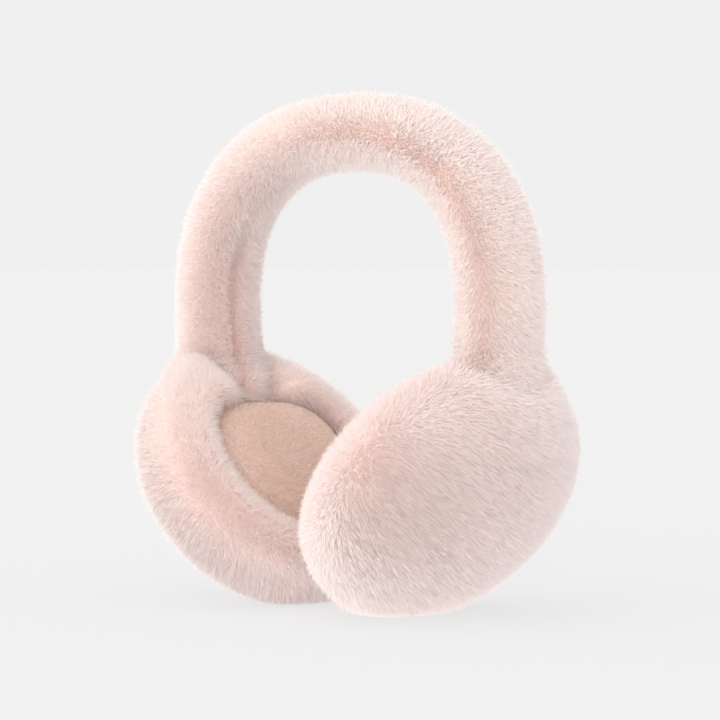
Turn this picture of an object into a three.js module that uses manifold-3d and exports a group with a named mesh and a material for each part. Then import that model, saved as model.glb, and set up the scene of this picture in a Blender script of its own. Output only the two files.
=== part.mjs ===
// Fur earmuffs: a padded fur sleeve that arches over the head, a bun-shaped fur cover over each ear,
// and a short-nap pad in the hollow of each cover. The pile is laid in low overlapping locks.
// Millimetres. X runs from ear to ear, -Y is the front, +Z is up, and the lowest fur stands on Z = 0.
import * as THREE from "three";
import { mergeVertices } from "three/addons/utils/BufferGeometryUtils.js";
import Module from "manifold-3d";

// Ear cover, measured to the roots of its locks
const coverTallRadius = 55;
const coverDeepRadius = 56.6;
const coverDomeHeight = 31.2;
const coverRimHeight = 24.4;
const coverDomeRoundness = 1.95;
const coverRimRoundness = 2.74;
const coverLean = 37.8;
const coverCentreOut = 46.9;
const coverCentreUp = 47;

// Collar, where the rim sinks at the top so that the sleeve's fur runs down to the pad
const collarSink = 11;
const collarHalfAngle = 34;
const collarFlatHalfAngle = 13;
const collarAbovePadCentre = 28.5;

// Hollow that the pad lies in, its mouth widening towards the ear
const hollowRadius = 35;
const hollowFloorHeight = 8;
const hollowWallHeight = 14;
const hollowMouthFlare = 6;

// Ear pad
const padEdgeHeight = 13.4;
const padCrown = 5.4;

// Headband sleeve, measured to the roots of its locks
const archHalfWidth = 76;
const archRise = 65.6;
const archSpringHeight = 115;
const archRoundness = 2.3;
const legEndHeight = 72;
const legTuck = 8;
const sleeveThickHalf = 12.8;
const sleeveDeepHalf = 16.6;
const seamOffCentre = 15;
const seamHalfAngle = 14;
const seamDepth = 2;

// Locks of fur
const lockRise = 3;
const lockLength = 26;
const lockWidth = 14;
const lockTipShare = 0.45;
const coverLocks = 130;
const layBack = 0.35;

// Room between pieces that touch
const fitGap = 0.3;

// How finely the surfaces are cut
const coverDetail = 10;
const sleeveRings = 66;
const sleeveSides = 24;
const padSides = 40;
const hollowSides = 40;

// Sleeve section along the leg and arch: shares of its own half sizes
const sleeveSections = [
  { along: 0, thick: 1.06, deep: 0.97 },
  { along: 0.3, thick: 1.03, deep: 0.98 },
  { along: 0.7, thick: 1, deep: 1 },
  { along: 1, thick: 0.98, deep: 1.02 },
];

const wasm = await Module();
wasm.setup();

const fur = new THREE.MeshStandardMaterial({ color: 0xeed3cc, roughness: 0.95, metalness: 0 });
const nap = new THREE.MeshStandardMaterial({ color: 0xcfae9f, roughness: 0.9, metalness: 0 });
const lean = THREE.MathUtils.degToRad(coverLean);
const smoothWindow = (value, full, none) => 1 - THREE.MathUtils.smoothstep(value, full, none);

// A closed manifold solid from a geometry, and back
function solidFrom(geometry) {
  const plain = geometry.index ? geometry.toNonIndexed() : geometry;
  const bare = new THREE.BufferGeometry().setAttribute("position", plain.getAttribute("position"));
  const merged = mergeVertices(bare, 1e-3);
  const vertProperties = merged.attributes.position.array;
  const triVerts = new Uint32Array(merged.index.array);
  return new wasm.Manifold(new wasm.Mesh({ numProp: 3, vertProperties, triVerts }));
}

function geometryFrom(solid) {
  const mesh = solid.getMesh();
  const positions = new THREE.BufferAttribute(mesh.vertProperties, 3);
  const geometry = new THREE.BufferGeometry().setAttribute("position", positions);
  geometry.setIndex(new THREE.BufferAttribute(mesh.triVerts, 1));
  geometry.computeVertexNormals();
  return geometry;
}

// A closed skin over rings of points, with a pole at either end. Each ring turns the same way.
function skinOver(firstPole, rings, lastPole) {
  const sides = rings[0].length;
  const points = [firstPole, ...rings.flat(), lastPole];
  const at = (ring, side) => 1 + ring * sides + (side % sides);
  const index = [];
  for (let side = 0; side < sides; side++) {
    index.push(0, at(0, side + 1), at(0, side));
    for (let ring = 0; ring < rings.length - 1; ring++) {
      index.push(at(ring, side), at(ring, side + 1), at(ring + 1, side + 1));
      index.push(at(ring, side), at(ring + 1, side + 1), at(ring + 1, side));
    }
    index.push(points.length - 1, at(rings.length - 1, side), at(rings.length - 1, side + 1));
  }
  const geometry = new THREE.BufferGeometry().setFromPoints(points);
  geometry.setIndex(index);
  return geometry;
}

// One lock seen from above: it climbs along its lay to a raised tip, then falls off at its end.
function lockShape(along, across) {
  if (Math.abs(along) >= 1 || Math.abs(across) >= 1) return 0;
  const climb = (along + 1) / (lockTipShare + 1);
  const fall = (1 - along) / (1 - lockTipShare);
  return (1 - across * across) * Math.min(climb, fall);
}

// Roots of the cover's locks, spread evenly over a ball by the golden angle
const goldenAngle = Math.PI * (3 - Math.sqrt(5));
const lay = new THREE.Vector3(0, layBack, -1).normalize();
const coverRoots = Array.from({ length: coverLocks }, (_, i) => {
  const height = 1 - (2 * i + 1) / coverLocks;
  const ring = Math.sqrt(1 - height * height);
  const root = new THREE.Vector3(height, ring * Math.cos(i * goldenAngle), ring * Math.sin(i * goldenAngle));
  const along = lay.clone().addScaledVector(root, -lay.dot(root)).normalize();
  return { root, along, across: new THREE.Vector3().crossVectors(root, along) };
});

function coverLockRise(direction) {
  let highest = 0;
  for (const { root, along, across } of coverRoots) {
    if (direction.dot(root) < 0) continue;
    const offset = direction.clone().sub(root).multiplyScalar(coverTallRadius);
    const shape = lockShape((2 * offset.dot(along)) / lockLength, (2 * offset.dot(across)) / lockWidth);
    highest = Math.max(highest, shape);
  }
  return highest * lockRise;
}

// Cover in its own frame: X is the way out from the ear, Y the depth, Z up its tilted face.
function coverPoint(direction, extra) {
  const inward = direction.x < 0;
  const power = inward ? coverRimRoundness : coverDomeRoundness;
  const face = Math.hypot(direction.y, direction.z);
  const scale = (face ** power + Math.abs(direction.x) ** power) ** (-1 / power);
  const angle = THREE.MathUtils.radToDeg(Math.abs(Math.atan2(direction.y, direction.z)));
  const sunk = collarSink * smoothWindow(angle, collarFlatHalfAngle, collarHalfAngle) * Math.min(1, face * 2);
  const height = inward ? coverRimHeight - sunk : coverDomeHeight;
  const point = new THREE.Vector3(direction.x * height, direction.y * coverDeepRadius, direction.z * coverTallRadius);
  point.multiplyScalar(scale);
  return point.setLength(point.length() + coverLockRise(direction) + extra);
}

function coverBody(extra) {
  const ball = new THREE.IcosahedronGeometry(1, coverDetail);
  const places = ball.getAttribute("position");
  for (let i = 0; i < places.count; i++) {
    const direction = new THREE.Vector3().fromBufferAttribute(places, i).normalize();
    places.setXYZ(i, ...coverPoint(direction, extra));
  }
  return solidFrom(ball);
}

// Outline of the hollow and of the pad: round, with the collar cutting straight across its top
function hollowReach(angle) {
  const sharpness = 9;
  const toCollar = Math.max(Math.cos(angle), 0) / collarAbovePadCentre;
  return (toCollar ** sharpness + hollowRadius ** -sharpness) ** (-1 / sharpness);
}

function facingRing(sides, height, share, shift) {
  return Array.from({ length: sides }, (_, side) => {
    const angle = (2 * Math.PI * side) / sides;
    const reach = hollowReach(angle) * share + shift;
    return new THREE.Vector3(-height, reach * Math.sin(angle), reach * Math.cos(angle));
  });
}

function hollowCutter() {
  const clearHeight = coverRimHeight + lockRise + fitGap;
  const flareSteps = 4;
  const rings = [facingRing(hollowSides, hollowFloorHeight, 1, 0)];
  for (let step = 0; step <= flareSteps; step++) {
    const share = step / flareSteps;
    const height = THREE.MathUtils.lerp(hollowWallHeight, clearHeight, share);
    rings.push(facingRing(hollowSides, height, 1, hollowMouthFlare * share * share));
  }
  const floorCentre = new THREE.Vector3(-hollowFloorHeight, 0, 0);
  const mouthCentre = new THREE.Vector3(-clearHeight, 0, 0);
  return solidFrom(skinOver(floorCentre, rings, mouthCentre));
}

function padBody() {
  const edge = facingRing(padSides, hollowFloorHeight + fitGap, 1, -fitGap);
  const shoulder = facingRing(padSides, padEdgeHeight, 1, -fitGap);
  const crownRings = [0.94, 0.8, 0.6, 0.35].map((share) =>
    facingRing(padSides, padEdgeHeight + padCrown * (1 - share ** 3), share, 0),
  );
  const back = new THREE.Vector3(-hollowFloorHeight - fitGap, 0, 0);
  const top = new THREE.Vector3(-padEdgeHeight - padCrown, 0, 0);
  return solidFrom(skinOver(back, [edge, shoulder, ...crownRings], top));
}

// Centre line of the sleeve: tucked-in legs and a squared arch, sampled evenly from end to end
function sleeveLine() {
  const legSteps = 12;
  const archSteps = 60;
  const half = [];
  for (let step = 0; step < legSteps; step++) {
    const share = 1 - step / legSteps;
    const height = archSpringHeight - (archSpringHeight - legEndHeight) * share;
    half.push(new THREE.Vector3(archHalfWidth - legTuck * share * share, 0, height));
  }
  for (let step = 0; step <= archSteps; step++) {
    const angle = (Math.PI * step) / (2 * archSteps);
    const power = 2 / archRoundness;
    const across = archHalfWidth * Math.cos(angle) ** power;
    const up = archSpringHeight + archRise * Math.sin(angle) ** power;
    half.push(new THREE.Vector3(step === archSteps ? 0 : across, 0, up));
  }
  const mirrored = half.slice(0, -1).map((point) => new THREE.Vector3(-point.x, 0, point.z));
  return new THREE.CatmullRomCurve3([...half, ...mirrored.reverse()]);
}

function sectionAt(along) {
  const last = sleeveSections.length - 1;
  const next = Math.min(last, Math.max(1, sleeveSections.findIndex((section) => section.along >= along)));
  const [low, high] = [sleeveSections[next - 1], sleeveSections[next]];
  const share = (along - low.along) / (high.along - low.along);
  return {
    thick: sleeveThickHalf * THREE.MathUtils.lerp(low.thick, high.thick, share),
    deep: sleeveDeepHalf * THREE.MathUtils.lerp(low.deep, high.deep, share),
  };
}

// Rise of the sleeve's locks: staggered rows round the tube, each laid from the crown down its leg
function sleeveLockRise(down, round, girth) {
  const rowPitch = lockLength / 2;
  const perRow = Math.max(3, Math.round(girth / (0.8 * lockWidth)));
  const pitch = girth / perRow;
  let highest = 0;
  const nearest = Math.round(down / rowPitch);
  for (let row = nearest - 1; row <= nearest + 1; row++) {
    const shifted = round / pitch + (row % 2) / 2;
    const across = (shifted - Math.round(shifted)) * pitch;
    const shape = lockShape((2 * (down - row * rowPitch)) / lockLength, (2 * across) / lockWidth);
    highest = Math.max(highest, shape);
  }
  return highest * lockRise;
}

function sleeveBody() {
  const line = sleeveLine();
  const length = line.getLength();
  const seam = Math.PI + THREE.MathUtils.degToRad(seamOffCentre);
  const seamWidth = THREE.MathUtils.degToRad(seamHalfAngle);
  const rings = [];
  for (let ring = 0; ring <= sleeveRings; ring++) {
    const share = ring / sleeveRings;
    const centre = line.getPointAt(share);
    const tangent = line.getTangentAt(share);
    const outward = new THREE.Vector3(tangent.z, 0, -tangent.x);
    const { thick, deep } = sectionAt(1 - Math.abs(2 * share - 1));
    const girth = Math.PI * (thick + deep);
    const down = Math.abs(share - 0.5) * length;
    const points = Array.from({ length: sleeveSides }, (_, side) => {
      const turn = (2 * Math.PI * side) / sleeveSides;
      const angle = seam + turn;
      const fromSeam = Math.min(turn, 2 * Math.PI - turn);
      const groove = seamDepth * smoothWindow(fromSeam, 0, seamWidth);
      const rise = sleeveLockRise(down, (girth * turn) / (2 * Math.PI), girth) - groove;
      return centre
        .clone()
        .addScaledVector(outward, Math.cos(angle) * (thick + rise))
        .add(new THREE.Vector3(0, Math.sin(angle) * (deep + rise), 0));
    });
    rings.push(points);
  }
  return solidFrom(skinOver(line.getPointAt(0), rings, line.getPointAt(1)));
}

// From the cover's own frame to the earmuffs' frame, on the right
const coverPlace = new THREE.Matrix4()
  .makeBasis(
    new THREE.Vector3(Math.cos(lean), 0, -Math.sin(lean)),
    new THREE.Vector3(0, 1, 0),
    new THREE.Vector3(Math.sin(lean), 0, Math.cos(lean)),
  )
  .setPosition(coverCentreOut, 0, coverCentreUp);

// All that lies under the floor, so that the lowest fur is pressed flat where the muffs stand
function underFloor() {
  const span = 4 * (archHalfWidth + coverTallRadius);
  const block = new THREE.BoxGeometry(span, span, span).translate(0, 0, -span / 2);
  return solidFrom(block);
}

const rightEnvelope = coverBody(fitGap).transform(coverPlace.elements);
const rightCover = coverBody(0).subtract(hollowCutter()).transform(coverPlace.elements).subtract(underFloor());
const rightPad = padBody().transform(coverPlace.elements);
const acrossMiddle = [1, 0, 0];
const sleeve = sleeveBody().subtract(rightEnvelope).subtract(rightEnvelope.mirror(acrossMiddle));

const earmuffs = new THREE.Group();

function addPiece(name, solid, material) {
  const mesh = new THREE.Mesh(geometryFrom(solid), material);
  mesh.name = name;
  earmuffs.add(mesh);
}

addPiece("headband_sleeve", sleeve, fur);
addPiece("ear_cover_right", rightCover, fur);
addPiece("ear_cover_left", rightCover.mirror(acrossMiddle), fur);
addPiece("ear_pad_right", rightPad, nap);
addPiece("ear_pad_left", rightPad.mirror(acrossMiddle), nap);

export default earmuffs;
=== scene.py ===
# Fur earmuffs: combed pale pink pile over a padded headband and two ear covers, with short-nap ear pads.
import math
import bpy
import numpy as np
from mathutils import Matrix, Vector


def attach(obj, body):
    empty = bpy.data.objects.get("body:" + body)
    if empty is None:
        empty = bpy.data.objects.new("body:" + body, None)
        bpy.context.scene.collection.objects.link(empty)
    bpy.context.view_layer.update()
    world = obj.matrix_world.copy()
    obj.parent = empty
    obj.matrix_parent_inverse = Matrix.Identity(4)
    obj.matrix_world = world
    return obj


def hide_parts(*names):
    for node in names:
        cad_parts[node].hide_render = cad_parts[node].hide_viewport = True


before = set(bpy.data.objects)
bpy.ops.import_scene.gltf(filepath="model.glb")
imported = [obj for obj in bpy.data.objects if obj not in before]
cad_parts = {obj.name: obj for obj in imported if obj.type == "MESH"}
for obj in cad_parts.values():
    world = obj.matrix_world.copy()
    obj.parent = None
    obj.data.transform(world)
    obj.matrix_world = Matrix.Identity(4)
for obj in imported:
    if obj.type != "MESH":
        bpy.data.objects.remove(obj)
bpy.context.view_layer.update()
mm = 0.001
rootBody = "root"


# One wire between two nodes. Numbers meet in Math nodes, vectors in Vector Math nodes.
class Wire:
    def __init__(self, sheet, socket):
        self.sheet = sheet
        self.socket = socket

    def isVector(self):
        return self.socket.type in {"VECTOR", "RGBA"}

    def meet(self, kind, left, right):
        flags = [v.isVector() if isinstance(v, Wire) else isinstance(v, tuple) for v in (left, right)]
        if not any(flags):
            return self.sheet.node("ShaderNodeMath", {"operation": kind}, {0: left, 1: right})
        if kind == "MULTIPLY" and not all(flags):
            vector, number = (left, right) if flags[0] else (right, left)
            return self.sheet.node("ShaderNodeVectorMath", {"operation": "SCALE"}, {0: vector, "Scale": number})
        return self.sheet.node("ShaderNodeVectorMath", {"operation": kind}, {0: left, 1: right})

    def __add__(self, other):
        return self.meet("ADD", self, other)

    def __radd__(self, other):
        return self.meet("ADD", other, self)

    def __sub__(self, other):
        return self.meet("SUBTRACT", self, other)

    def __rsub__(self, other):
        return self.meet("SUBTRACT", other, self)

    def __mul__(self, other):
        return self.meet("MULTIPLY", self, other)

    def __rmul__(self, other):
        return self.meet("MULTIPLY", other, self)


# A node tree being written: one call adds a node, sets it up, feeds it and gives back its outputs.
class Sheet:
    def __init__(self, tree):
        self.tree = tree

    def node(self, kind, settings=None, values=None, out=0):
        made = self.tree.nodes.new(kind)
        for name, value in (settings or {}).items():
            if name == "stops":
                self.setStops(made.color_ramp, value)
            else:
                setattr(made, name, value)
        for key, value in (values or {}).items():
            socket = made.inputs[key]
            if isinstance(value, Wire):
                self.tree.links.new(value.socket, socket)
            else:
                socket.default_value = value
        return Wire(self, made.outputs[out]) if len(made.outputs) else made

    def other(self, wire, name):
        return Wire(self, wire.socket.node.outputs[name])

    def setStops(self, ramp, stops):
        while len(ramp.elements) < len(stops):
            ramp.elements.new(1.0)
        for element, (place, colour) in zip(ramp.elements, stops):
            element.position = place
            element.color = (*colour, 1.0)


def smoothStep(value, low, high):
    share = np.clip((value - low) / (high - low), 0.0, 1.0)
    return share * share * (3.0 - 2.0 * share)


def unit(vectors):
    return vectors / np.maximum(np.linalg.norm(vectors, axis=-1, keepdims=True), 1e-9)


def fromScreen(red, green, blue):
    return tuple(((c / 255 + 0.055) / 1.055) ** 2.4 for c in (red, green, blue))


# Where the pieces lie, in millimetres: the same sizes as the solids
coverShape = {
    "tall": 55.0, "deep": 56.6, "dome": 31.2, "rim": 24.4,
    "domePower": 1.95, "rimPower": 2.74,
    "lean": math.radians(37.8), "out": 46.9, "up": 47.0,
    "collarSink": 11.0, "collarFull": 13.0, "collarNone": 34.0,
    "hollow": 35.0, "collarCut": 28.5,
}
sleeveShape = {
    "halfWidth": 76.0, "rise": 65.6, "spring": 115.0, "power": 2.3, "end": 72.0, "tuck": 8.0,
    "thick": 12.8, "deep": 16.6, "seam": math.radians(15.0),
    "sections": ((0.0, 1.06, 0.97), (0.3, 1.03, 0.98), (0.7, 1.0, 1.0), (1.0, 0.98, 1.02)),
}
leanAxis = np.array([math.cos(coverShape["lean"]), 0.0, -math.sin(coverShape["lean"])])
faceUp = np.array([math.sin(coverShape["lean"]), 0.0, math.cos(coverShape["lean"])])
coverCentre = np.array([coverShape["out"], 0.0, coverShape["up"]])


def coverToWorld(local):
    return coverCentre + local[..., :1] * leanAxis + local[..., 1:2] * (0.0, 1.0, 0.0) + local[..., 2:] * faceUp


def turnToWorld(local):
    return local[..., :1] * leanAxis + local[..., 1:2] * (0.0, 1.0, 0.0) + local[..., 2:] * faceUp


def worldToCover(world):
    moved = world - coverCentre
    return np.stack([moved @ leanAxis, moved[..., 1], moved @ faceUp], -1)


def hollowReach(angle):
    toCollar = np.maximum(np.cos(angle), 0.0) / coverShape["collarCut"]
    return (toCollar ** 9 + coverShape["hollow"] ** -9.0) ** (-1 / 9)


def collarSink(angle):
    degrees = np.degrees(np.abs((angle + math.pi) % (2 * math.pi) - math.pi))
    return coverShape["collarSink"] * (1 - smoothStep(degrees, coverShape["collarFull"], coverShape["collarNone"]))


# Mesh from a grid of rings that close round, with a pole at either end
def ringMesh(name, firstPole, rings, lastPole):
    rows, sides = rings.shape[:2]
    points = np.concatenate([firstPole[None], rings.reshape(-1, 3), lastPole[None]])
    last = len(points) - 1
    faces = []
    for side in range(sides):
        turn = (side + 1) % sides
        faces.append((0, 1 + turn, 1 + side))
        base = 1 + (rows - 1) * sides
        faces.append((last, base + side, base + turn))
    row = np.arange(rows - 1)[:, None] * sides + 1
    side = np.arange(sides)[None]
    turn = (side + 1) % sides
    quads = np.stack([row + side, row + turn, row + sides + turn, row + sides + side], -1).reshape(-1, 4)
    mesh = bpy.data.meshes.new(name)
    mesh.from_pydata((points * mm).tolist(), [], faces + quads.tolist())
    mesh.update()
    centre = points.mean(0) * mm
    outward = sum((f.center - Vector(centre)).dot(f.normal) * f.area for f in mesh.polygons)
    if outward < 0:
        mesh.flip_normals()
        mesh.update()
    return mesh, points


def addPiece(name, mesh, material):
    piece = bpy.data.objects.new(name, mesh)
    bpy.context.scene.collection.objects.link(piece)
    if material:
        mesh.materials.clear()
        mesh.materials.append(material)
    mesh.polygons.foreach_set("use_smooth", [True] * len(mesh.polygons))
    return piece


def setAttribute(mesh, name, kind, values):
    layer = mesh.attributes.new(name, kind, "POINT")
    field = "vector" if kind == "FLOAT_VECTOR" else "value"
    layer.data.foreach_set(field, np.asarray(values, dtype=np.float32).ravel())


# What the pile reads from the skin that it grows on
def dressSkin(mesh, lay, pile, cover, hue, blush):
    setAttribute(mesh, "lay", "FLOAT_VECTOR", lay)  # direction that the hairs lean in
    setAttribute(mesh, "pile", "FLOAT", pile)  # length, against the pile's own
    setAttribute(mesh, "cover", "FLOAT", cover)  # density, 0 where nothing grows
    setAttribute(mesh, "hue", "FLOAT", hue)  # painted light: warm and lighter below 0 where light falls, cool and dimmer above where shade falls
    setAttribute(mesh, "blush", "FLOAT", blush)  # painted shade: a deeper pink where shade falls in creases, hollows and low places


def readNormals(mesh, count):
    normals = np.empty(count * 3, dtype=np.float32)
    mesh.vertices.foreach_get("normal", normals)
    return normals.reshape(-1, 3).astype(float)


def mirrorMesh(source, name):
    mesh = source.copy()
    mesh.name = name
    places = np.empty(len(mesh.vertices) * 3)
    mesh.vertices.foreach_get("co", places)
    places[0::3] *= -1
    mesh.vertices.foreach_set("co", places)
    for layer in mesh.attributes:
        if layer.name == "lay":
            values = np.empty(len(mesh.vertices) * 3, dtype=np.float32)
            layer.data.foreach_get("vector", values)
            values[0::3] *= -1
            layer.data.foreach_set("vector", values)
    mesh.flip_normals()
    return mesh


# Camera and stage
view = {
    "turn": math.radians(45.31), "rise": math.radians(1.85), "distance": 1.193,
    "pixelsPerMillimetre": 2.633, "aimRight": 2.72, "aimUp": 94.32,
    "framePixels": 720, "sensor": 36.0,
}
light = {
    "backdrop": fromScreen(240, 240, 240),
    "room": 1.35, "roomSide": 0.6,  # the room's light against the backdrop, and how much more its lit side gives
    "litTurn": 50.0, "litRise": 20.0,  # where that side lies, in degrees left of the camera and up
    "roomWarm": (1.0, 0.97, 0.94), "roomCool": (0.945, 0.96, 1.0),
    "bounces": 8,  # light goes from hair to hair deep in the pile
    "floorGlow": 0.8,  # share of the floor's light that it gives itself
    "tableLight": 1.5,  # what the lit table gives the object, against the backdrop
    "keys": (  # name, strength, turn from the camera, height, softness in degrees, colour
        ("softKey", 0.25, -42, 40, 30, (1.0, 0.95, 0.91)),
        ("frontFill", 1.2, -18, 12, 50, (1.0, 0.97, 0.95)),
    ),
}


def placeCamera():
    turn, rise = view["turn"], view["rise"]
    back = np.array([math.sin(turn) * math.cos(rise), -math.cos(turn) * math.cos(rise), math.sin(rise)])
    right = np.array([math.cos(turn), math.sin(turn), 0.0])
    aim = np.array([0.0, 0.0, view["aimUp"] * mm]) + right * view["aimRight"] * mm
    lens = bpy.data.cameras.new("frontCamera")
    focal = view["pixelsPerMillimetre"] / mm * view["distance"]  # pixels
    lens.sensor_width = view["sensor"]
    lens.lens = focal / view["framePixels"] * view["sensor"]
    lens.clip_start = 0.05
    camera = bpy.data.objects.new("frontCamera", lens)
    camera.location = aim + back * view["distance"]
    camera.rotation_euler = (math.pi / 2 - rise, 0.0, turn)
    bpy.context.scene.collection.objects.link(camera)
    bpy.context.scene.camera = camera


def lightScene():
    scene = bpy.context.scene
    scene.view_settings.view_transform = "Standard"
    scene.cycles.diffuse_bounces = light["bounces"]
    world = bpy.data.worlds.new("paleRoom")
    scene.world = world
    world.use_nodes = True
    world.node_tree.nodes.clear()
    sheet = Sheet(world.node_tree)
    turn, rise = view["turn"] - math.radians(light["litTurn"]), math.radians(light["litRise"])
    bright = (math.sin(turn) * math.cos(rise), -math.cos(turn) * math.cos(rise), math.sin(rise))
    place = sheet.node("ShaderNodeTexCoord", {}, {}, "Generated")
    facing = sheet.node("ShaderNodeVectorMath", {"operation": "DOT_PRODUCT"}, {0: place, 1: bright}, "Value")
    tints = ((0.0, light["roomCool"]), (1.0, light["roomWarm"]))
    tint = sheet.node("ShaderNodeValToRGB", {"stops": tints}, {0: facing * 0.5 + 0.5})
    strength = (facing * light["roomSide"] + light["room"]) * light["backdrop"][0]
    room = sheet.node("ShaderNodeBackground", {}, {"Color": tint, "Strength": strength})
    shown = sheet.node("ShaderNodeBackground", {}, {"Color": (*light["backdrop"], 1.0)})
    seen = sheet.node("ShaderNodeLightPath")
    both = sheet.node("ShaderNodeMixShader", {}, {0: seen, 1: room, 2: shown})
    sheet.node("ShaderNodeOutputWorld", {}, {"Surface": both})
    for name, strength, aside, rise, soft, colour in light["keys"]:
        key = bpy.data.lights.new(name, "SUN")
        key.energy = strength
        key.angle = math.radians(soft)
        key.color = colour
        lamp = bpy.data.objects.new(name, key)
        lamp.rotation_euler = (math.radians(90 - rise), 0.0, view["turn"] + math.radians(aside))
        scene.collection.objects.link(lamp)


def layFloor():
    half = 30.0
    mesh = bpy.data.meshes.new("floor")
    mesh.from_pydata([(-half, -half, 0), (half, -half, 0), (half, half, 0), (-half, half, 0)], [], [(0, 1, 2, 3)])
    material = bpy.data.materials.new("paleFloor")
    material.use_nodes = True
    shader = material.node_tree.nodes["Principled BSDF"]
    backdrop = np.array(light["backdrop"])
    fromKey = sum(k[1] * math.sin(math.radians(k[3])) / math.pi * np.array(k[5]) for k in light["keys"])
    # as bright as the backdrop, so that no edge shows between them
    albedo = (1 - light["floorGlow"]) * backdrop / (light["room"] * backdrop + fromKey)
    shader.inputs["Base Color"].default_value = (*albedo, 1.0)
    shader.inputs["Emission Color"].default_value = (*backdrop, 1.0)
    shader.inputs["Emission Strength"].default_value = light["floorGlow"]
    shader.inputs["Roughness"].default_value = 1.0
    shader.inputs["Specular IOR Level"].default_value = 0.0
    sheet = Sheet(material.node_tree)
    seen = sheet.node("ShaderNodeLightPath")
    table = sheet.node("ShaderNodeEmission", {}, {"Color": (*backdrop, 1.0), "Strength": light["tableLight"]})
    both = sheet.node("ShaderNodeMixShader", {}, {0: seen, 1: table, 2: Wire(sheet, shader.outputs[0])})
    material.node_tree.links.new(both.socket, material.node_tree.nodes["Material Output"].inputs["Surface"])
    floor = addPiece("floor", mesh, material)


placeCamera()
lightScene()
layFloor()
print("stage: camera, soft light and floor are in place")


# Pile colours: along one strand from its root to its tip, and from strand to strand
pileColours = {
    "root": fromScreen(251, 226, 220), "middle": fromScreen(247, 236, 233), "tip": fromScreen(239, 232, 231),
    # warm and cool are both each strand's own tone and painted light; the last colour is the deep pink of painted shade
    "warm": fromScreen(249, 241, 233), "cool": fromScreen(239, 236, 239), "blush": fromScreen(246, 196, 185),
    "roughness": 0.8,
    "through": (0.97, 0.925, 0.91, 1.0), "thin": 0.62,  # light that goes through the hairs, and its share
}
strandTones = {
    "middleAt": 0.45, "coolAt": 0.6,  # places of the middle colours on their ramps
    "hueShare": 0.4,  # how much of the colour differs from strand to strand
    "darkest": 0.9,
}


def strandMaterial(name, colours):
    material = bpy.data.materials.new(name)
    material.use_nodes = True
    material.node_tree.nodes.clear()
    sheet = Sheet(material.node_tree)
    place = sheet.node("ShaderNodeUVMap", {"uv_map": "OFBake"})
    tone = sheet.node("ShaderNodeSeparateXYZ", {}, {0: place}, "X")
    along = sheet.other(tone, "Y")
    stops = ((0.0, colours["root"]), (strandTones["middleAt"], colours["middle"]), (1.0, colours["tip"]))
    length = sheet.node("ShaderNodeValToRGB", {"stops": stops}, {0: along})
    # warm, then cool, then the deep pink of painted shade: each strand's own tone plus the skin's painted light and
    # shade, darker as tone rises
    hues = ((0.0, colours["warm"]), (strandTones["coolAt"], colours["cool"]), (1.0, colours["blush"]))
    hue = sheet.node("ShaderNodeValToRGB", {"stops": hues}, {0: tone})
    mixed = sheet.node("ShaderNodeMix", {"data_type": "RGBA", "blend_type": "MIX"}, {
        0: strandTones["hueShare"], 6: length, 7: hue}, 2)
    shade = sheet.node("ShaderNodeMapRange", {}, {0: tone, 3: 1.0, 4: strandTones["darkest"]})
    colour = sheet.node("ShaderNodeVectorMath", {"operation": "SCALE"}, {0: mixed, "Scale": shade})
    shader = sheet.node("ShaderNodeBsdfPrincipled", {}, {
        "Base Color": colour, "Roughness": colours["roughness"], "Specular IOR Level": 0.2})
    through = sheet.node("ShaderNodeBsdfTranslucent", {}, {"Color": colours["through"]})
    both = sheet.node("ShaderNodeMixShader", {}, {0: colours["thin"], 1: shader, 2: through})
    sheet.node("ShaderNodeOutputMaterial", {}, {"Surface": both})
    return material


def backingMaterial(name, low, high, grain, bump):
    material = bpy.data.materials.new(name)
    material.use_nodes = True
    material.node_tree.nodes.clear()
    sheet = Sheet(material.node_tree)
    place = sheet.node("ShaderNodeTexCoord", {}, {}, "Object")
    noise = sheet.node("ShaderNodeTexNoise", {}, {"Vector": place, "Scale": grain, "Detail": 4.0})
    colour = sheet.node("ShaderNodeValToRGB", {"stops": ((0.3, low), (0.7, high))}, {0: noise})
    relief = sheet.node("ShaderNodeBump", {}, {"Strength": bump, "Distance": 0.0006, "Height": noise})
    shader = sheet.node("ShaderNodeBsdfPrincipled", {}, {
        "Base Color": colour, "Roughness": 0.95, "Specular IOR Level": 0.1, "Normal": relief})
    sheet.node("ShaderNodeOutputMaterial", {}, {"Surface": shader})
    return material


pileFinish = strandMaterial("palePinkPile", pileColours)
backingFinish = backingMaterial("pinkBacking", fromScreen(252, 228, 222), fromScreen(253, 236, 232), 700.0, 0.3)
napColours = {
    "root": fromScreen(220, 198, 187), "middle": fromScreen(236, 220, 211), "tip": fromScreen(246, 233, 226),
    # the last colour is the dark beige of painted shade on the pad's lower part
    "warm": fromScreen(244, 230, 219), "cool": fromScreen(226, 204, 193), "blush": fromScreen(186, 140, 121),
    "roughness": 0.85, "through": (0.88, 0.76, 0.69, 1.0), "thin": 0.35,
}
napFinish = strandMaterial("beigeNap", napColours)
padFinish = backingMaterial("beigePadCloth", fromScreen(206, 180, 168), fromScreen(216, 194, 183), 1400.0, 0.6)


# One strand to copy: a slim triangle of unit length, widest at its middle, with its root at the origin
def strandShape(name):
    points = [(-0.2, 0.0, 0.0), (0.8, 0.0, 0.55), (0.0, 0.0, 1.0)]
    mesh = bpy.data.meshes.new(name)
    mesh.from_pydata(points, [], [(0, 2, 1)])
    setAttribute(mesh, "along", "FLOAT", [p[2] for p in points])
    strand = bpy.data.objects.new(name, mesh)
    bpy.context.scene.collection.objects.link(strand)
    return strand


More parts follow.
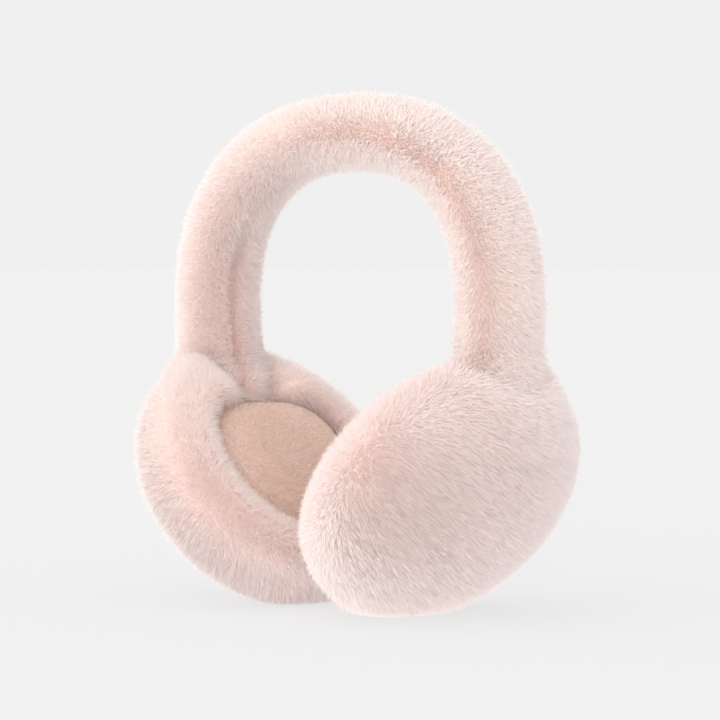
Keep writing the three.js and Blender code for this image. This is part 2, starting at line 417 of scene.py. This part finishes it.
pileHabit = {
    "broadScale": 38.0, "tuftScale": 260.0,  # noise that turns and tints wide patches, and tufts
    "swirl": 0.2, "sway": 0.4, "ragged": 0.002,  # how far tufts and patches turn the hairs, and how uneven locks are
    "tones": (0.8, 0.6, 0.45, 0.2), "toneMiddle": 0.42,  # spread by patch, tuft, lock and strand
    "hue": 0.3, "blush": 0.33, "toneEnds": (0.02, 0.65, 0.98),  # how much the skin's painted light and painted shade add, and where warm, cool and the painted-shade pink end
    "standingFrizz": 2.2, "combedFrizz": 1.2,  # combed hairs are less loose than upright ones
    "twist": 1.57, "droop": 0.7,  # turn about a hair's own line, and how far its tip sinks
    "lengths": (0.84, 1.1), "tuftLength": 0.3, "widths": (0.75, 1.25),
}


def growTree():
    habit = pileHabit
    tree = bpy.data.node_groups.new("growPile", "GeometryNodeTree")
    ports = tree.interface
    ports.new_socket("Geometry", in_out="INPUT", socket_type="NodeSocketGeometry")
    for name in ("Density", "Length", "Width", "Lift", "Comb", "Frizz", "Gather", "Gather size", "Curl", "Floor"):
        ports.new_socket(name, in_out="INPUT", socket_type="NodeSocketFloat")
    ports.new_socket("Seed", in_out="INPUT", socket_type="NodeSocketInt")
    ports.new_socket("Strand", in_out="INPUT", socket_type="NodeSocketObject")
    ports.new_socket("Finish", in_out="INPUT", socket_type="NodeSocketMaterial")
    ports.new_socket("Geometry", in_out="OUTPUT", socket_type="NodeSocketGeometry")
    sheet = Sheet(tree)
    skin = sheet.node("NodeGroupInput")
    ask = {socket.name: Wire(sheet, socket) for socket in skin.socket.node.outputs if socket.name}

    def read(name, kind="FLOAT"):
        return sheet.node("GeometryNodeInputNamedAttribute", {"data_type": kind}, {"Name": name})

    def store(shape, name, kind, domain, value):
        settings = {"data_type": kind, "domain": domain}
        return sheet.node("GeometryNodeStoreNamedAttribute", settings, {0: shape, "Name": name, "Value": value})

    def chance(low, high, offset, kind="FLOAT"):
        where = {"FLOAT": (2, 3, 1), "FLOAT_VECTOR": (0, 1, 0)}[kind]
        values = {where[0]: low, where[1]: high, "Seed": ask["Seed"] + offset}
        return sheet.node("FunctionNodeRandomValue", {"data_type": kind}, values, where[2])

    spots = sheet.node("GeometryNodeDistributePointsOnFaces", {}, {
        "Mesh": ask["Geometry"], "Density": ask["Density"] * read("cover"), "Seed": ask["Seed"]}, "Points")
    normal = sheet.other(spots, "Normal")
    place = sheet.node("GeometryNodeInputPosition")
    broad = sheet.node("ShaderNodeTexNoise", {}, {"Vector": place, "Scale": habit["broadScale"], "Detail": 2.0})
    tuft = sheet.node("ShaderNodeTexNoise", {}, {"Vector": place, "Scale": habit["tuftScale"], "Detail": 2.0})
    swirl = sheet.other(tuft, "Color") - (0.5, 0.5, 0.5)
    sway = sheet.other(broad, "Color") - (0.5, 0.5, 0.5)
    scale = sheet.node("ShaderNodeMath", {"operation": "DIVIDE"}, {0: 1.0, 1: ask["Gather size"]})
    cells = sheet.node("ShaderNodeTexVoronoi", {}, {
        "Vector": place + swirl * habit["ragged"], "Scale": scale, "Randomness": 1.0})
    lockTone = sheet.node("ShaderNodeSeparateXYZ", {}, {0: sheet.other(cells, "Color")}, "X") - 0.5
    patchTone, tuftTone, cellTone, ownTone = habit["tones"]
    tone = (broad - 0.5) * patchTone + (tuft - 0.5) * tuftTone + lockTone * cellTone
    # the skin's painted light turns lit places warmer and lighter and shaded places cooler and dimmer; its painted
    # shade pushes creases, hollows and low places to deep pink
    tone = tone + chance(-ownTone, ownTone, 5) + habit["toneMiddle"] + read("hue") * habit["hue"]
    low, cool, high = habit["toneEnds"]
    tone = sheet.node("ShaderNodeClamp", {}, {0: tone, 1: low, 2: cool}) + read("blush") * habit["blush"]
    toned = store(spots, "tone", "FLOAT", "POINT", sheet.node("ShaderNodeClamp", {}, {0: tone, 1: low, 2: high}))
    turned = store(toned, "upright", "FLOAT_VECTOR", "POINT", normal)
    middle = sheet.other(cells, "Position")
    pull = (middle - place) * scale * ask["Gather"]
    frizz = chance((-1, -1, -1), (1, 1, 1), 11, "FLOAT_VECTOR") * ask["Frizz"]
    lay = read("lay", "FLOAT_VECTOR")
    combed = sheet.node("ShaderNodeVectorMath", {"operation": "LENGTH"}, {0: lay}, "Value")
    frizz = frizz * (habit["standingFrizz"] - habit["combedFrizz"] * combed)
    way = normal * ask["Lift"] + lay * ask["Comb"] + swirl * habit["swirl"] + sway * habit["sway"] + frizz + pull
    aimed = sheet.node("FunctionNodeAlignRotationToVector", {"axis": "Z"}, {"Vector": way})
    faced = sheet.node("FunctionNodeAlignRotationToVector", {"axis": "Y", "pivot_axis": "Z"}, {
        "Rotation": aimed, "Vector": normal})
    turn = chance(-habit["twist"], habit["twist"], 17)
    twist = sheet.node("FunctionNodeAxisAngleToRotation", {}, {"Axis": (0, 0, 1), "Angle": turn})
    rolled = sheet.node("FunctionNodeRotateRotation", {"rotation_space": "LOCAL"}, {0: faced, 1: twist})
    reach = ask["Length"] * read("pile") * chance(*habit["lengths"], 23) * (1.0 + (tuft - 0.5) * habit["tuftLength"])
    across = ask["Width"] * chance(*habit["widths"], 29)
    size = sheet.node("ShaderNodeCombineXYZ", {}, {"X": across, "Y": 1.0, "Z": reach})
    one = sheet.node("GeometryNodeObjectInfo", {"transform_space": "ORIGINAL"}, {"Object": ask["Strand"]}, "Geometry")
    strands = sheet.node("GeometryNodeInstanceOnPoints", {}, {
        "Points": turned, "Instance": one, "Rotation": rolled, "Scale": size})
    real = sheet.node("GeometryNodeRealizeInstances", {}, {0: strands})
    along = read("along")
    bend = read("lay", "FLOAT_VECTOR") - read("upright", "FLOAT_VECTOR") * habit["droop"]
    curled = sheet.node("GeometryNodeSetPosition", {}, {0: real, "Offset": bend * (along * along * ask["Curl"])})
    spot = sheet.node("ShaderNodeSeparateXYZ", {}, {0: sheet.node("GeometryNodeInputPosition")}, "X")
    height = sheet.node("ShaderNodeMath", {"operation": "MAXIMUM"}, {0: sheet.other(spot, "Z"), 1: ask["Floor"]})
    above = sheet.node("ShaderNodeCombineXYZ", {}, {"X": spot, "Y": sheet.other(spot, "Y"), "Z": height})
    lifted = sheet.node("GeometryNodeSetPosition", {}, {0: curled, "Position": above})
    corner = sheet.node("ShaderNodeCombineXYZ", {}, {"X": read("tone"), "Y": along})
    mapped = store(lifted, "OFBake", "FLOAT2", "CORNER", corner)
    finished = sheet.node("GeometryNodeSetMaterial", {}, {0: mapped, "Material": ask["Finish"]})
    sheet.node("NodeGroupOutput", {}, {0: finished})
    return tree


pileTree = growTree()
needle = strandShape("needle")


# Grow one pile on a skin, and make it a plain mesh
def growPile(name, skin, settings):
    bearer = bpy.data.objects.new(name, skin.data.copy())
    bpy.context.scene.collection.objects.link(bearer)
    modifier = bearer.modifiers.new("pile", "NODES")
    modifier.node_group = pileTree
    sockets = {i.name: i.identifier for i in pileTree.interface.items_tree if i.in_out == "INPUT"}
    for key, value in settings.items():
        modifier[sockets[key]] = value
    bpy.context.view_layer.update()
    seen = bearer.evaluated_get(bpy.context.evaluated_depsgraph_get())
    mesh = bpy.data.meshes.new_from_object(seen)
    bearer.modifiers.clear()
    bearer.data = mesh
    mesh.name = name
    mesh.polygons.foreach_set("use_smooth", [True] * len(mesh.polygons))
    for extra in ("lay", "pile", "cover", "blush", "hue", "tone", "along", "upright"):
        if extra in mesh.attributes:
            mesh.attributes.remove(mesh.attributes[extra])
    print(f"pile: {name}, {sum(len(p.vertices) - 2 for p in mesh.polygons)} triangles")
    return bearer


def finishPiece(piece):
    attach(piece, rootBody)


# Ear cover backing: the skin that the pile grows on, inset under the tips
coverSkinSizes = {
    "inset": 2.6, "sides": 132, "domeRows": 26, "rimRows": 14, "lipRows": 9, "wallRows": 5,
    "hollowMore": 2.2, "lipRound": 6.0, "lipDrop": 5.5, "lipClear": 0.5, "wallFoot": 9.0,
    "firstRow": 0.04, "rimEase": 1.4,  # where the dome's rows start, and how they crowd towards the lip
    "shoulder": 4.5, "shoulderReach": 0.5,  # swelling where the sleeve's foot joins
}


def sleeveLine(count):
    s = sleeveShape
    share = 1 - np.arange(12) / 12
    leg = np.stack([s["halfWidth"] - s["tuck"] * share ** 2, s["spring"] - (s["spring"] - s["end"]) * share], -1)
    turn = np.linspace(0, math.pi / 2, 200)
    arch = np.stack([s["halfWidth"] * np.maximum(np.cos(turn), 0) ** (2 / s["power"]),
                     s["spring"] + s["rise"] * np.sin(turn) ** (2 / s["power"])], -1)
    half = np.concatenate([leg, arch])
    line = np.concatenate([half, half[-2::-1] * (-1, 1)])
    steps = np.concatenate([[0], np.cumsum(np.linalg.norm(np.diff(line, axis=0), axis=1))])
    even = np.linspace(0, steps[-1], count)
    spots = np.stack([np.interp(even, steps, line[:, 0]), np.interp(even, steps, line[:, 1])], -1)
    for _ in range(3):
        spots[1:-1] = (spots[:-2] + 2 * spots[1:-1] + spots[2:]) / 4
    tangent = unit(np.gradient(spots, axis=0))
    return spots, tangent, even - steps[-1] / 2


def sleeveSection(distance):
    s = sleeveShape
    share = 1 - np.abs(distance) / np.abs(distance).max()
    table = np.array(s["sections"])
    thick = s["thick"] * np.interp(share, table[:, 0], table[:, 1])
    return thick, s["deep"] * np.interp(share, table[:, 0], table[:, 2])


lineSpots, lineTangent, lineDistance = sleeveLine(301)
lineThick, lineDeep = sleeveSection(lineDistance)


# How far points lie inside the sleeve: under 1 is inside, measured against its section
def insideSleeve(points, grow):
    rowReach, endFade = 4.0, 25.0  # millimetres along the sleeve
    best = np.full(len(points), 9.0)
    for sign in (1, -1):
        flat = points[:, [0, 2]] * (sign, 1)
        for row in range(0, len(lineSpots), 4):
            tangent = lineTangent[row]
            offset = flat - lineSpots[row]
            along = offset @ tangent
            out = offset @ np.array([tangent[1], -tangent[0]])
            value = np.sqrt((out / (lineThick[row] + grow)) ** 2 + (points[:, 1] / (lineDeep[row] + grow)) ** 2)
            value += np.maximum(-along, 0) / endFade if row == 0 else 0.0  # fades out below the sleeve's end
            near = (along < rowReach) & ((along > -rowReach) | (row == 0))
            best = np.where(near, np.minimum(best, value), best)
    return best


def insideCover(points, grow):
    s = coverShape
    mirrored = points.copy()
    mirrored[:, 0] = np.abs(mirrored[:, 0])
    local = worldToCover(mirrored)
    angle = np.arctan2(local[:, 1], local[:, 2])
    inward = local[:, 0] < 0
    height = np.where(inward, s["rim"] - collarSink(angle), s["dome"]) + grow
    power = np.where(inward, s["rimPower"], s["domePower"])
    face = np.sqrt((local[:, 1] / (s["deep"] + grow)) ** 2 + (local[:, 2] / (s["tall"] + grow)) ** 2)
    return (face ** power + np.abs(local[:, 0] / height) ** power) ** (1 / power)


def coverSkin():
    s, k = coverShape, coverSkinSizes
    angle = np.linspace(0, 2 * math.pi, k["sides"], endpoint=False)
    up, side = np.cos(angle), np.sin(angle)
    tall, deep = s["tall"] - k["inset"], s["deep"] - k["inset"]
    dome, rim = s["dome"] - k["inset"], s["rim"] - k["inset"]
    rows, kinds = [], []
    for share in np.linspace(k["firstRow"], 1.0, k["domeRows"]):
        turn = share * math.pi / 2
        scale = (math.sin(turn) ** s["domePower"] + math.cos(turn) ** s["domePower"]) ** (-1 / s["domePower"])
        face = math.sin(turn) * scale
        out = np.full_like(angle, dome * math.cos(turn) * scale)
        rows.append(np.stack([out, side * deep * face, up * tall * face], -1))
        kinds.append(0.0)
    reach = hollowReach(angle) + k["hollowMore"]
    radius = 1 / np.sqrt((up / tall) ** 2 + (side / deep) ** 2)
    lipStart = (reach + k["lipRound"]) / radius
    rimHeight = rim - collarSink(angle)

    def rimOut(face):
        return rimHeight * (1 - face ** s["rimPower"]) ** (1 / s["rimPower"])

    for share in np.linspace(0, 1, k["rimRows"] + 1)[1:]:
        eased = math.sin(share * math.pi / 2)
        face = 1 - (1 - lipStart) * eased ** k["rimEase"]
        rows.append(np.stack([-rimOut(face), side * radius * face, up * radius * face], -1))
        kinds.append(share)
    lipHeight = rimOut(lipStart)
    foot = np.full_like(angle, k["wallFoot"])
    drop = np.minimum(lipHeight - foot - k["lipClear"], k["lipDrop"])
    for share in np.linspace(0, 1, k["lipRows"] + 1)[1:]:
        turn = share * math.pi / 2
        distance = reach + k["lipRound"] * (1 - math.sin(turn))
        out = lipHeight - drop * (1 - math.cos(turn))
        rows.append(np.stack([-out, side * distance, up * distance], -1))
        kinds.append(1.0 + share)
    for share in np.linspace(0, 1, k["wallRows"] + 1)[1:]:
        out = (lipHeight - drop) * (1 - share) + foot * share
        rows.append(np.stack([-out, side * reach, up * reach], -1))
        kinds.append(2.0 + share)
    rings = np.array(rows)
    kindRow = np.array(kinds)[:, None]
    joint = (insideSleeve(coverToWorld(rings).reshape(-1, 3), 0.0).reshape(rings.shape[:2]) - 1) / k["shoulderReach"]
    high = smoothStep(rings[..., 2], 20.0, 34.0) * (1 - smoothStep(kindRow, 0.3, 0.9))
    swell = k["shoulder"] * np.exp(-np.maximum(joint, 0) ** 2) * high
    rings += unit(rings / np.array([dome, deep, tall]) ** 2) * swell[..., None]
    firstPole = np.array([dome, 0.0, 0.0])
    lastPole = np.array([-k["wallFoot"], 0.0, 0.0])
    mesh, points = ringMesh("coverBackingRight", coverToWorld(firstPole), coverToWorld(rings), coverToWorld(lastPole))
    kind = np.concatenate([[0.0], np.repeat(kinds, k["sides"]), [3.0]])
    return mesh, points, kind


coverDress = {
    "stroke": (0.75, 0.6, -0.05), "strokeShare": 1.15,  # combed out, back and slightly down
    "rimFlow": 0.3, "lipFlow": 0.3,  # outward on the rim, and over the lip into the hollow
    "rimLonger": 0.25, "hollowShorter": 0.3,
    "notchAt": 38.0, "notchWidth": 2.5, "notchDepth": 0.4,  # in degrees from the cover's top, at the front of the rim
    # painted shade in deep pink: near the floor, in the hollow, in the notch crease and round the sleeve's foot
    "footPaintedShade": 0.3, "hollowPaintedShade": 0.9, "notchPaintedShade": 0.8, "jointPaintedShade": 0.4,
}


# Direction, length and tints of the pile on a cover. kind is 0 on the dome, 1 on the lip, and past 2 in the hollow.
def dressCoverSkin(mesh, points, kind):
    k = coverDress
    local = worldToCover(points)
    angle = np.arctan2(local[:, 1], local[:, 2])
    normals = readNormals(mesh, len(points))
    stroke = turnToWorld(np.array([k["stroke"]]))
    outward = unit(turnToWorld(local * (0.0, 1.0, 1.0)))
    rimPart = smoothStep(kind, 0.0, 0.4)[:, None]
    lip = smoothStep(kind, 0.7, 1.5)[:, None]
    flow = stroke * k["strokeShare"] * (1 - rimPart) + outward * k["rimFlow"] * rimPart
    flow = flow * (1 - lip) - outward * k["lipFlow"] * lip
    lay = flow - (flow * normals).sum(1, keepdims=True) * normals * (0.6 + 0.4 * rimPart)
    pile = 1.0 + k["rimLonger"] * smoothStep(kind, 0.5, 1.1) - k["hollowShorter"] * smoothStep(kind, 1.5, 2.3)
    degrees = np.degrees(np.abs(angle))
    notch = np.exp(-((degrees - k["notchAt"]) / k["notchWidth"]) ** 2)
    notch = notch * smoothStep(kind, 0.9, 1.3) * (local[:, 1] < 0)
    pile *= 1 - k["notchDepth"] * notch
    cover = np.where(kind > 2.45, 0.0, 1.0)
    joined = insideSleeve(points, -3.0)
    cover = np.where((joined < 1.0) & (points[:, 2] > 70.0), 0.0, cover)
    joint = np.exp(-((joined - 1.05) / 0.22) ** 2) * (points[:, 2] > 78)  # round the foot of the sleeve, where shade is painted
    # painted shade near the floor, in the hollow, in the notch and round the sleeve's foot
    blush = k["footPaintedShade"] * (1 - smoothStep(points[:, 2], 3.0, 24.0)) + k["hollowPaintedShade"] * smoothStep(kind, 1.4, 2.3)
    blush = blush + k["notchPaintedShade"] * notch + k["jointPaintedShade"] * joint
    # painted light: the dome cooler and dimmer, most on its low back where shade falls, and the rim warmer and lighter
    shadedLowBack = smoothStep(local[:, 1] - local[:, 2], -30.0, 70.0)
    hue = (0.3 + 0.6 * shadedLowBack) * (1 - smoothStep(kind, 0.0, 0.6)) - 0.3 * smoothStep(kind, 0.2, 0.8)
    dressSkin(mesh, lay, pile, cover, hue, blush)


coverPile = {
    "Length": 5.4 * mm, "Width": 0.22 * mm, "Lift": 1.0, "Comb": 1.0, "Frizz": 0.28, "Gather": 0.05,
    "Gather size": 0.5 * mm, "Curl": 0.4 * mm, "Floor": 0.2 * mm, "Density": 9.4e6, "Seed": 3,
    "Strand": needle, "Finish": pileFinish,
}
coverGuard = dict(coverPile, **{
    "Length": 6.6 * mm, "Width": 0.2 * mm, "Comb": 0.5, "Frizz": 0.4, "Gather": 0.0, "Curl": 0.8 * mm,
    "Density": 2.0e6, "Seed": 71,
})

skinMesh, skinPoints, skinKind = coverSkin()
dressCoverSkin(skinMesh, skinPoints, skinKind)
for side, mesh in (("Right", skinMesh), ("Left", mirrorMesh(skinMesh, "coverBackingLeft"))):
    node = f"ear_cover_{side.lower()}"
    backing = addPiece(f"coverBacking{side}", mesh, backingFinish)
    pile = growPile(f"coverPile{side}", backing, coverPile)
    guard = growPile(f"coverGuardHair{side}", backing, coverGuard)
    for piece in (backing, pile, guard):
        finishPiece(piece)
    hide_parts(node)
print("ear covers: backing and pile are made")


# Headband sleeve backing: a tube with the seam sunk along its inner face
sleeveSkinSizes = {
    "inset": 2.4, "sides": 56, "seamWidth": math.radians(12.0), "seamDepth": 1.5, "crownSeam": 0.2,
    "flare": 2.5, "flareReach": 0.14,
}


# 0 over the crown, 1 on the legs
def legShare(distance):
    return smoothStep(np.abs(distance), 65.0, 105.0)


def sleeveSkin():
    k = sleeveSkinSizes
    turn = np.linspace(0, 2 * math.pi, k["sides"], endpoint=False)
    seam = math.pi + sleeveShape["seam"]
    fromSeam = np.minimum(turn, 2 * math.pi - turn)
    deepen = k["crownSeam"] + (1 - k["crownSeam"]) * legShare(lineDistance)[:, None]
    groove = k["seamDepth"] * deepen * (1 - smoothStep(fromSeam, 0.0, k["seamWidth"]))
    angle = seam + turn
    outward = np.stack([lineTangent[:, 1], -lineTangent[:, 0]], -1)
    thick = lineThick[:, None] - k["inset"] - groove
    deep = lineDeep[:, None] - k["inset"] - groove
    for _ in range(2):  # the second round widens the foot, where it meets the cover
        spots = lineSpots[:, None] + outward[:, None] * (np.cos(angle) * thick)[..., None]
        rings = np.stack([spots[..., 0], np.sin(angle) * deep, spots[..., 1]], -1)
        near = insideCover(rings.reshape(-1, 3), 0.0).reshape(rings.shape[:2]) - 1
        flare = k["flare"] * np.exp(-(near / k["flareReach"]) ** 2)
        thick, deep = thick + flare, deep + flare
    first = np.array([lineSpots[0, 0], 0.0, lineSpots[0, 1]])
    last = np.array([lineSpots[-1, 0], 0.0, lineSpots[-1, 1]])
    mesh, points = ringMesh("sleeveBacking", first, rings, last)
    fromSeam = np.concatenate([[0.0], np.tile(fromSeam, len(lineSpots)), [0.0]])
    distance = np.concatenate([[lineDistance[0]], np.repeat(lineDistance, k["sides"]), [lineDistance[-1]]])
    tangent = np.stack([lineTangent[:, 0], np.zeros(len(lineTangent)), lineTangent[:, 1]], -1)
    tangent = np.concatenate([tangent[:1], np.repeat(tangent, k["sides"], 0), tangent[-1:]])
    return mesh, points, fromSeam, tangent, distance


sleeveDress = {
    "rightFlow": (0.3, 0.3, 0.0), "rightDown": 0.65,  # combed down the right leg, and out
    "leftFlow": (-0.12, 0.08, -0.25),
    # painted shade in deep pink along the seam crease and on the legs' inner side; painted light makes the crown warmer
    # and lighter
    "crownSeam": 0.1, "seamShorter": 0.3, "seamPaintedShade": 1.1, "innerPaintedShade": 0.4, "crownPaintedLight": 0.3,
}


def dressSleeveSkin(mesh, points, fromSeam, tangent, distance):
    k = sleeveDress
    normals = readNormals(mesh, len(points))
    right = (1 - smoothStep(distance, -20.0, 80.0))[:, None]
    flow = right * (k["rightFlow"] - tangent * k["rightDown"]) + (1 - right) * k["leftFlow"]
    lay = flow - (flow * normals).sum(1, keepdims=True) * normals * (1 - 0.35 * right)
    onLeg = legShare(distance)
    seamDip = (1 - smoothStep(fromSeam, 0.05, 0.5)) * (k["crownSeam"] + (1 - k["crownSeam"]) * onLeg)
    innerSide = 1 - smoothStep(fromSeam, 0.3, 1.1)
    pile = 1.0 - k["seamShorter"] * seamDip
    cover = np.where(insideCover(points, -4.0) < 1.0, 0.0, 1.0)
    # painted light: the crown warmer and lighter than the legs
    hue = k["crownPaintedLight"] * smoothStep(np.abs(distance), 60.0, 130.0) - k["crownPaintedLight"]
    # painted shade along the seam crease and on the legs' inner side
    blush = k["seamPaintedShade"] * seamDip + k["innerPaintedShade"] * innerSide * onLeg
    dressSkin(mesh, lay, pile, cover, hue, blush)


sleevePile = dict(coverPile, **{"Density": 6.0e6, "Seed": 201, "Comb": 1.0, "Frizz": 0.3})
sleeveUnder = dict(sleevePile, **{"Seed": 307, "Length": 5.0 * mm})
sleeveGuard = dict(coverGuard, **{"Density": 1.5e6, "Seed": 401, "Comb": 0.4})

sleeveMesh, sleevePoints, seamTurn, sleeveTangent, alongSleeve = sleeveSkin()
dressSleeveSkin(sleeveMesh, sleevePoints, seamTurn, sleeveTangent, alongSleeve)
sleeveBacking = addPiece("sleeveBacking", sleeveMesh, backingFinish)
sleevePieces = [sleeveBacking]
for name, settings in (("sleevePile", sleevePile), ("sleeveUnderPile", sleeveUnder), ("sleeveGuardHair", sleeveGuard)):
    sleevePieces.append(growPile(name, sleeveBacking, settings))
for piece in sleevePieces:
    finishPiece(piece)
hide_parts("headband_sleeve")
print("headband sleeve: backing and pile are made")


# Ear pad: a crowned cushion of short-nap cloth with a soft edge
padSizes = {
    "back": 8.4, "edge": 13.0, "crown": 5.6, "gap": 0.4, "sides": 120, "rows": 26,
    "roll": 2.6, "crownPower": 3.2, "edgePower": 0.55,  # how far the edge rolls over, and how full crown and edge are
    "backRows": ((0.0, 0.55), (0.0, 0.85), (0.4, 0.95), (1.4, 0.985)),  # height over the back, and share of the reach
    # painted shade: the pad's lower part darker and deeper in tone
    "lowPaintedShade": 1.5, "lay": (0.0, 0.2, -1.0),
}


def padSkin():
    k = padSizes
    angle = np.linspace(0, 2 * math.pi, k["sides"], endpoint=False)
    reach = hollowReach(angle) - k["gap"]
    rows = [(k["back"] + over, share) for over, share in k["backRows"]]
    for share in np.linspace(0, 1, k["rows"]):
        turn = share * math.pi / 2
        raised = (k["crown"] + k["roll"]) * (1 - math.cos(turn) ** k["crownPower"])
        rows.append((k["edge"] - k["roll"] + raised, math.cos(turn) ** k["edgePower"]))
    rings = []
    for out, share in rows[:-1]:
        rings.append(np.stack([
            np.full_like(angle, -out), np.sin(angle) * reach * share, np.cos(angle) * reach * share], -1))
    first = np.array([-k["back"], 0.0, 0.0])
    last = np.array([-rows[-1][0], 0.0, 0.0])
    mesh, points = ringMesh("earPadRight", coverToWorld(first), coverToWorld(np.array(rings)), coverToWorld(last))
    local = worldToCover(points)
    front = smoothStep(-local[:, 0], k["back"] + 1.0, k["back"] + 3.0)
    lay = np.tile(np.array(k["lay"]), (len(points), 1))
    # painted shade, darkest at the bottom of the pad and fading out towards its top
    blush = k["lowPaintedShade"] - k["lowPaintedShade"] * smoothStep(local[:, 2], -34.0, 28.0)
    dressSkin(mesh, lay, np.ones(len(points)), front, np.zeros(len(points)), blush)
    return mesh


padNap = dict(coverPile, **{
    "Length": 1.5 * mm, "Width": 0.24 * mm, "Comb": 0.35, "Frizz": 0.6, "Gather": 0.1, "Gather size": 1.6 * mm,
    "Curl": 0.05 * mm, "Density": 4.6e6, "Seed": 501, "Finish": napFinish,
})
padMesh = padSkin()
for side, mesh in (("Right", padMesh), ("Left", mirrorMesh(padMesh, "earPadLeft"))):
    pad = addPiece(f"earPad{side}", mesh, padFinish)
    nap = growPile(f"padNap{side}", pad, padNap)
    for piece in (pad, nap):
        finishPiece(piece)
    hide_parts(f"ear_pad_{side.lower()}")
print("ear pads: cloth and nap are made")

bpy.data.objects.remove(needle, do_unlink=True)
